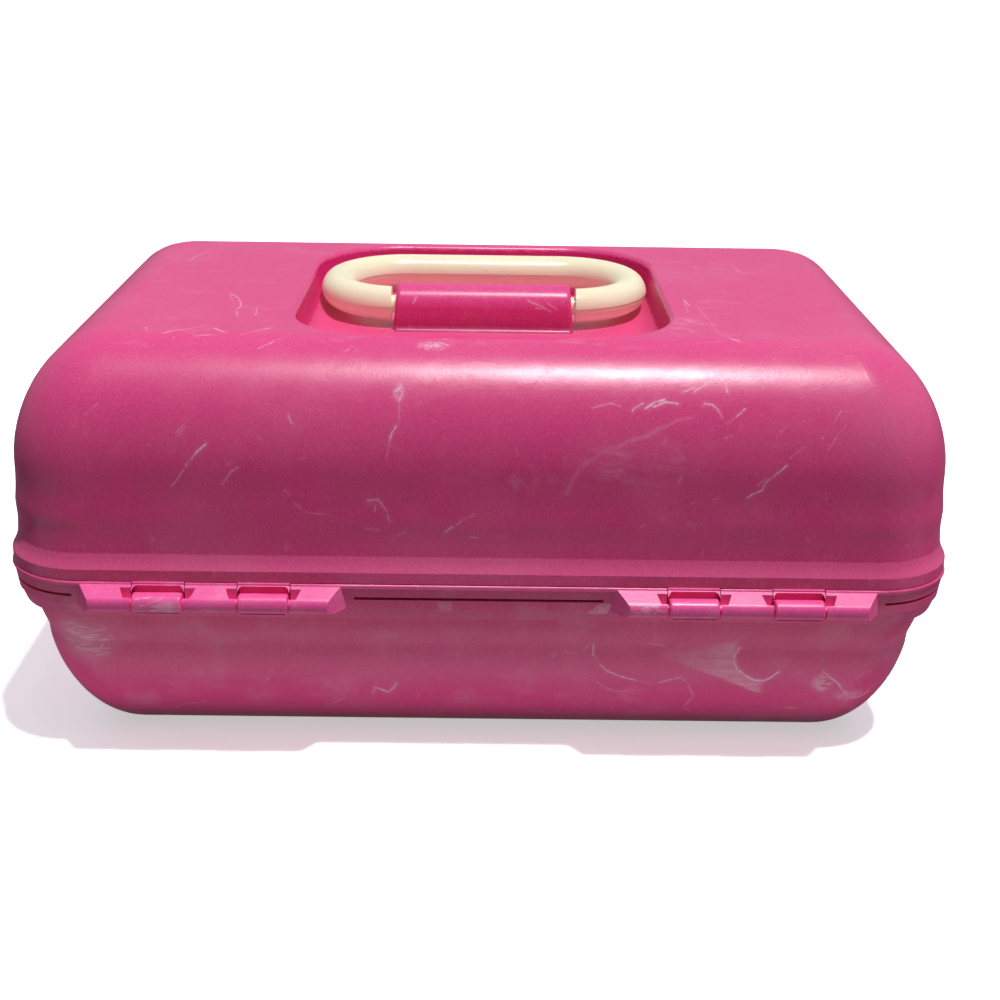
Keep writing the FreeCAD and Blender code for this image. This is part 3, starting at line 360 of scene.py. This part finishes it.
def base_patches(t, mm, pw, speck):
    """Rubbed areas on the lower half: a smoky sweep, a smear, brushed corner, tape ghosts."""
    up_edge = edge(t, pw, (-66.0, 40.0), (-91.0, 45.0), 2.4)
    low_edge = edge(t, pw, (-92.5, 26.4), (-66.0, 38.6), 0.7)
    in_arc = ramp(t, vmath(t, "LENGTH", vmath(t, "MULTIPLY", vmath(t, "SUBTRACT", pw, (-104.0, 0.0, 41.5)), (1.0, 0.0, 1.0))), 12.5, 14.5)
    left = edge(t, pw, (-101.0, 34.0), (-101.0, 26.0), 2.5)
    grow = ramp(t, vmath(t, "DOT_PRODUCT", mm, (-1.0, 0.0, 0.0)), 66.0, 95.0, 0.16, 0.52)
    fan = streaks(t, pw, (0.0, 0.42, 0.0), (0.35, 1.0, 1.5), 0.35, 0.3, 0.72)
    sweep = times(t, up_edge, low_edge, in_arc, left, grow, math_(t, "ADD", math_(t, "MULTIPLY", fan, 0.6), 0.4))
    smear = times(t, blob(t, pw, (-122.8, 97.0, 27.6), (5.4, 14.0, 6.4), 0.8), streaks(t, pw, (0.0, 0.9, 0.0), (0.5, 1.0, 1.3), 0.32, 0.3, 0.62), ramp(t, speck, 0.3, 0.6, 0.3, 0.62))
    tail = times(t, blob(t, pw, (-133.0, 93.0, 21.5), (8.5, 12.0, 4.5), 0.8), ramp(t, speck, 0.3, 0.6, 0.08, 0.36))
    brushed = times(t, blob(t, pw, (137.5, 99.0, 44.0), (12.5, 18.0, 11.5), 0.6),
                    streaks(t, pw, (0.0, -0.22, 0.3), (0.16, 0.4, 1.5), 0.75, 0.42, 0.66), 0.85)
    veil = times(t, blob(t, pw, (140.0, 99.0, 44.0), (17.0, 22.0, 16.0), 0.9), 0.22)
    face = ramp(t, vmath(t, "DOT_PRODUCT", mm, (0.0, 1.0, 0.0)), 104.5, 105.5)
    wv = streaks(t, pw, (0.0, 0.6, 0.0), (0.5, 1.0, 1.3), 0.5, 0.3, 0.7)
    ghost1 = times(t, edge(t, mm, (13.2, 57.5), (15.6, 70.0), 0.15), edge(t, mm, (8.2, 70.0), (9.6, 57.5), 0.15),
                   edge(t, mm, (20.0, 63.0), (5.0, 63.0), 0.2), edge(t, mm, (5.0, 59.0), (20.0, 58.8), 0.3))
    ghost2 = times(t, edge(t, mm, (-35.6, 57.0), (-42.6, 64.6), 0.2), edge(t, mm, (-45.6, 64.0), (-43.6, 57.0), 0.2),
                   edge(t, mm, (-30.0, 63.0), (-50.0, 63.0), 0.2), edge(t, mm, (-50.0, 58.4), (-30.0, 58.6), 0.3))
    ghosts = times(t, math_(t, "ADD", math_(t, "MULTIPLY", ghost1, 0.25), math_(t, "MULTIPLY", ghost2, 0.42)), face, math_(t, "ADD", math_(t, "MULTIPLY", wv, 0.5), 0.5))
    low = ramp(t, noise(t, mm, 0.05, 3.0, 0.6), 0.5, 0.75, 0.0, 0.12)
    return most(t, sweep, smear, tail, brushed, veil, ghosts, low)


def rear_patches(t, mm, pw, speck):
    """Rubbed areas on the lid's back, a painted highlight at its -X end and painted light on the cove just above the
    rim.
    """
    dab = times(t, blob(t, pw, (27.5, 97.0, 134.5), (2.9, 6.0, 4.6), 0.9), ramp(t, speck, 0.42, 0.60, 0.12, 0.8))
    # painted highlight: a soft whitened patch standing in for the brighter light on the lid's -X end
    painted_shine = times(t, blob(t, pw, (-136.0, 98.0, 124.0), (26.0, 40.0, 24.0), 1.0), 0.10)
    smoke = times(t, blob(t, pw, (-48.0, 104.0, 112.0), (24.0, 20.0, 12.0), 0.8),
                  streaks(t, pw, (0.0, 0.62, 0.0), (0.4, 1.0, 1.4), 0.25, 0.45, 0.72), 0.16)
    wisp = ramp(t, noise(t, pw, 0.07, 4.0, 0.6), 0.62, 0.8, 0.0, 0.16)
    z = vmath(t, "DOT_PRODUCT", mm, (0.0, 0.0, 1.0))
    # painted light: a lighter strip on the upward-facing cove just above the rim, where more light falls
    painted_cove_light = times(t, ramp(t, z, 79.3, 78.3), ramp(t, z, 73.4, 73.9), 0.06)
    return most(t, dab, painted_shine, smoke, wisp, painted_cove_light)


def top_patches(t, mm, pw, speck):
    """Rubbed areas on the lid's top."""
    dab = times(t, blob(t, pw, (16.9, 81.5, 146.0), (6.5, 3.2, 4.0), 0.7), ramp(t, speck, 0.4, 0.6, 0.1, 0.6))
    side = times(t, blob(t, pw, (-72.0, 52.0, 148.0), (9.0, 9.0, 6.0), 0.9), streaks(t, pw, (0.0, 0.0, 0.5), (0.5, 1.3, 1.0), 0.4, 0.45, 0.7), 0.3)
    wear = times(t, streaks(t, pw, (0.0, 0.0, 0.2), (0.35, 1.2, 1.0), 0.16, 0.55, 0.78), 0.14)
    return most(t, dab, side, wear)


def boss_patches(t, mm, pw, speck):
    """Light wear along the hinge blocks, a star-shaped scuff on one inner end."""
    worn = ramp(t, noise(t, pw, 0.1, 4.0, 0.6), 0.5, 0.78, 0.0, 0.14)
    star = times(t, blob(t, pw, (-56.5, 114.0, 63.6), (6.5, 5.0, 2.6), 0.8), streaks(t, pw, (0.0, 0.4, 0.0), (0.5, 1.0, 1.3), 0.6, 0.35, 0.65), 0.5)
    return most(t, worn, star)


def hook_patches(t, mm, pw, speck):
    """Rubbed outer end of one hinge hook."""
    rubbed = times(t, blob(t, pw, (106.5, 115.0, 62.6), (9.0, 6.0, 3.6), 0.8),
                   streaks(t, pw, (0.0, 0.7, 0.0), (0.35, 1.0, 1.4), 0.5, 0.35, 0.7), 0.7)
    light = ramp(t, noise(t, pw, 0.12, 3.0, 0.6), 0.5, 0.75, 0.0, 0.16)
    return most(t, rubbed, light)


def sleeve_patches(t, mm, pw, speck):
    worn = ramp(t, noise(t, pw, 0.3, 3.0, 0.6), 0.45, 0.7, 0.0, 0.04)
    return most(t, worn, times(t, ramp(t, speck, 0.66, 0.74), 0.10))


def plain_plastic(name, color, rough=0.3, vary=0.05, grain_scale=900.0, soft=0.0, painted_glow=0.0):
    T = Tree(name)
    t = T.t
    co = T.n("ShaderNodeTexCoord").outputs["Object"]
    big = noise(t, co, 25.0, 3.0)
    c0 = tuple(c * (1 - vary) for c in color)
    c1 = tuple(min(1.0, c * (1 + vary)) for c in color)
    col = mix(t, ramp(t, big, 0.3, 0.7), c0, c1)
    mid = noise(t, co, 120.0, 4.0)
    r = math_(t, "ADD", rough - 0.05, math_(t, "MULTIPLY", mid, 0.10))
    bump = T.n("ShaderNodeBump", {"Strength": 0.25, "Distance": 0.00005, "Height": noise(t, co, grain_scale, 2.0)}).outputs[0]
    # painted light: the emission makes the plastic give off light of its own, standing in for light carried through
    # it
    b = T.n("ShaderNodeBsdfPrincipled", {"Base Color": col, "Roughness": r, "IOR": 1.49, "Normal": bump,
                                       "Subsurface Weight": soft, "Subsurface Radius": (1.0, 0.6, 0.4), "Subsurface Scale": 0.0025,
                                       "Emission Color": (1.0, 0.85, 0.62, 1.0), "Emission Strength": painted_glow})
    t.links.new(b.outputs[0], T.out.inputs[0])
    return T.mat


def metal(name, color, rough=0.3):
    T = Tree(name)
    t = T.t
    co = T.n("ShaderNodeTexCoord").outputs["Object"]
    m = T.n("ShaderNodeMapping", {"Vector": co, "Scale": (40.0, 900.0, 900.0)}).outputs[0]
    n1 = noise(t, m, 1.0, 3.0)
    col = mix(t, n1, tuple(c * 0.86 for c in color), color)
    b = T.n("ShaderNodeBsdfPrincipled", {"Base Color": col, "Metallic": 1.0, "Roughness": math_(t, "ADD", rough, math_(t, "MULTIPLY", n1, 0.12))})
    t.links.new(b.outputs[0], T.out.inputs[0])
    return T.mat


mats = {
    "pink": pink_material("case_pink"),
    "pink_base": pink_material("case_pink_base", BASE_MARKS, base_patches),
    "pink_rear": pink_material("case_pink_rear", REAR_MARKS, rear_patches, hair=0.7),
    "pink_hooks": pink_material("case_pink_hooks_painted_lit", BOSS_MARKS[6:], hook_patches, base=PAINTED_LIT_PINK),
    "pink_top": pink_material("case_pink_top", TOP_MARKS, top_patches, hair=0.8),
    # the sleeve carries painted shade, darker towards where it meets the well floor
    "pink_sleeve": pink_material("case_pink_sleeve", SLEEVE_MARKS, sleeve_patches, base=(0.82, 0.062, 0.265), haze_top=0.03, spec=0.38, foot_painted_shade=(131.0, 142.0)),
    # painted shade: the well's walls get a darker, deeper pink for the shade inside the recess
    "pink_well": pink_material("case_pink_well_painted_shade", base=(0.74, 0.026, 0.19), dust_and_sheen=0.0, haze_top=0.01, hair=0.6, spec=0.12),
    "pink_boss": pink_material("case_pink_boss_painted_lit", BOSS_MARKS, boss_patches, base=PAINTED_LIT_PINK),
    # the cream handle's emission is painted light: it shines though it is no lamp
    "cream": plain_plastic("trim_cream", (0.90, 0.85, 0.60), 0.30, 0.02, soft=0.22, painted_glow=0.085),
    "tray": plain_plastic("tray_cream", (0.80, 0.76, 0.60), 0.34, 0.03),
    "nylon": plain_plastic("nylon", (0.78, 0.76, 0.66), 0.42, 0.04),
    "steel": metal("steel", (0.62, 0.62, 0.63)),
    "mirror": metal("mirror_glass", (0.93, 0.94, 0.94), 0.0),
    "foam": plain_plastic("foam", (0.82, 0.82, 0.80), 0.8, 0.08, 2000.0),
}
use = {
    "base_shell": "pink_base", "lid_shell": "pink", "handle_sleeve": "pink_sleeve", "clasp_cheeks": "pink", "handle_upper": "cream", "handle_lower": "cream", "latch": "cream",
    "latch_pin": "steel", "tray": "tray", "link_left": "nylon", "link_right": "nylon", "base_link_rivets": "nylon",
    "tray_link_rivets": "nylon", "tray_lid_rivets": "nylon", "mirror_frame": "pink", "mirror_glass": "mirror",
    "mirror_pads": "foam", "mirror_screws": "steel",
}
for n, m in use.items():
    o = nodes[n]
    o.data.materials.clear()
    o.data.materials.append(mats[m])

# the lid's outside is split between the material for its back and the one for its top
lid = nodes["lid_shell"].data
lid.materials.append(mats["pink_rear"])
lid.materials.append(mats["pink_top"])
lid.materials.append(mats["pink_hooks"])
lid.materials.append(mats["pink_well"])
cz = np.zeros(len(lid.polygons) * 3)
lid.polygons.foreach_get("center", cz)
cz = cz.reshape(-1, 3)
which = np.where((cz[:, 1] > 84.0 / 1000) & (cz[:, 2] > 70.0 / 1000), 1, np.where(cz[:, 2] > 130.0 / 1000, 2, 0))
# the hinge hooks at the lid's back take the lighter pink too: painted light
which = np.where((cz[:, 1] > 104.0 / 1000) & (cz[:, 2] <= 70.0 / 1000), 3, which)
nz = np.zeros(len(lid.polygons) * 3)
lid.polygons.foreach_get("normal", nz)
nz = nz.reshape(-1, 3)[:, 2]
# the well's walls take the darker pink: painted shade inside the recess
in_well = (np.abs(cz[:, 0]) < 0.0705) & (cz[:, 1] > -0.074) & (cz[:, 1] < 0.078) & (cz[:, 2] > 0.1335) & (cz[:, 2] < 0.1462) & (np.abs(nz) < 0.55)
which = np.where(in_well, 4, which)
lid.polygons.foreach_set("material_index", which.astype(np.int32))

# the hinge blocks get a lighter pink than the tub behind them: painted light, standing in for the stronger light
# their sloping faces catch
tub = nodes["base_shell"].data
tub.materials.append(mats["pink_boss"])
cz = np.zeros(len(tub.polygons) * 3)
tub.polygons.foreach_get("center", cz)
cz = cz.reshape(-1, 3)
tub.polygons.foreach_set("material_index", np.where((cz[:, 1] > 0.1088) & (cz[:, 2] > 0.058), 1, 0).astype(np.int32))

# ------------------------------------------------------------------ floor
bm = bmesh.new()
s = 24.0
vs = [bm.verts.new((x, y, 0.0)) for x, y in ((-s, -s), (s, -s), (s, s), (-s, s))]
bm.faces.new(vs)
me = bpy.data.meshes.new("floor")
bm.to_mesh(me)
bm.free()
floor = bpy.data.objects.new("floor", me)
scene.collection.objects.link(floor)
T = Tree("floor_pale")
co = T.n("ShaderNodeTexCoord").outputs["Object"]
fcol = mix(T.t, noise(T.t, co, 2.0, 2.0), (0.93, 0.93, 0.93), (0.95, 0.95, 0.945))
fb = T.n("ShaderNodeBsdfPrincipled", {"Base Color": fcol, "Roughness": 0.9, "Emission Color": (1.0, 1.0, 1.0, 1.0), "Emission Strength": 0.50})
T.t.links.new(fb.outputs[0], T.out.inputs[0])
me.materials.append(T.mat)

# ------------------------------------------------------------------ light
world = bpy.data.worlds.new("studio")
scene.world = world
world.use_nodes = True
wt = world.node_tree
wt.nodes.clear()
wo = wt.nodes.new("ShaderNodeOutputWorld")
bg = wt.nodes.new("ShaderNodeBackground")
wco = wt.nodes.new("ShaderNodeTexCoord").outputs["Generated"]
wz = add_node(wt, "ShaderNodeSeparateXYZ", {0: wco}).outputs[2]
wy = add_node(wt, "ShaderNodeSeparateXYZ", {0: wco}).outputs[1]
aim = math_(wt, "SUBTRACT", math_(wt, "MULTIPLY", wz, 0.60), math_(wt, "MULTIPLY", wy, 0.80))
above = mix(wt, ramp(wt, aim, -0.35, 0.95), (0.035, 0.035, 0.04), (0.45, 0.46, 0.54))
below = (0.06, 0.055, 0.055)
lit = mix(wt, ramp(wt, wz, -0.06, 0.06), below, above)
gloss = mix(wt, ramp(wt, wz, -0.05, 0.05), (0.12, 0.11, 0.11), (0.27, 0.28, 0.30))
path = add_node(wt, "ShaderNodeLightPath")
sky = mix(wt, path.outputs["Is Glossy Ray"], lit, gloss)
seen = path.outputs["Is Camera Ray"]
wt.links.new(mix(wt, seen, sky, (0.97, 0.97, 0.97)), bg.inputs["Color"])
wt.links.new(bg.outputs[0], wo.inputs[0])
floor.visible_diffuse = False
floor.visible_glossy = False


def sun(name, el, side, energy, angle):
    """Distant lamp at the given angle up from +Y."""
    o = bpy.data.objects.new(name, bpy.data.lights.new(name, "SUN"))
    o.data.energy = energy
    o.data.angle = math.radians(angle)
    e = math.radians(el)
    v = Vector((-side, math.cos(e), math.sin(e))).normalized()
    o.rotation_euler = v.to_track_quat("Z", "Y").to_euler()
    scene.collection.objects.link(o)
    return o


key = sun("key", 79.0, 0.21, 2.75, 2.5)
key.visible_glossy = False
glint = sun("glint", 76.0, 0.08, 2.5, 2.0)
glint.visible_diffuse = False



def bounce(name, x0, x1, y0, y1, radiance, gloss_only=False):
    """Upward strip of light just above the sunlit floor around the case."""
    o = bpy.data.objects.new(name, bpy.data.lights.new(name, "AREA"))
    o.data.shape = "RECTANGLE"
    o.data.size, o.data.size_y = x1 - x0, y1 - y0
    o.data.energy = (x1 - x0) * (y1 - y0) * math.pi * radiance
    o.location = ((x0 + x1) / 2, (y0 + y1) / 2, 0.0008)
    o.rotation_euler = (math.pi, 0.0, 0.0)
    o.visible_camera = False
    o.visible_glossy = gloss_only
    o.visible_diffuse = not gloss_only
    scene.collection.objects.link(o)


bounce("bounce_rear", -0.20, 0.20, 0.103, 0.160, 1.10)
bounce("bounce_front", -0.26, 0.26, -0.26, -0.13, 0.9)
bounce("bounce_left", 0.17, 0.30, -0.13, 0.13, 0.7)
bounce("bounce_right", -0.30, -0.17, -0.13, 0.13, 0.75)
bounce("sheen_rear", -0.45, 0.45, 0.112, 0.36, 0.5, gloss_only=True)

# ------------------------------------------------------------------ camera, at the photograph's place
F_PX, PITCH, ROLL, YAW = 1498.59, 21.515, 0.882, 0.472
CAM = Vector((-0.00283, 0.57169, 0.28355))
pt, rl, yw = (math.radians(v) for v in (PITCH, ROLL, YAW))
fwd = Vector((-math.sin(yw) * math.cos(pt), -math.cos(yw) * math.cos(pt), -math.sin(pt)))
right = fwd.cross(Vector((0, 0, 1))).normalized()
up = right.cross(fwd)
r = math.cos(rl) * right + math.sin(rl) * up
u = -math.sin(rl) * right + math.cos(rl) * up
cam = bpy.data.objects.new("camera", bpy.data.cameras.new("camera"))
cam.data.sensor_width = 36.0
cam.data.lens = F_PX * 36.0 / 1000.0
cam.data.clip_start = 0.01
cam.data.clip_end = 80.0
cam.matrix_world = Matrix(((r.x, u.x, -fwd.x, CAM.x), (r.y, u.y, -fwd.y, CAM.y), (r.z, u.z, -fwd.z, CAM.z), (0, 0, 0, 1)))
scene.collection.objects.link(cam)
scene.camera = cam
scene.view_settings.view_transform = "Standard"
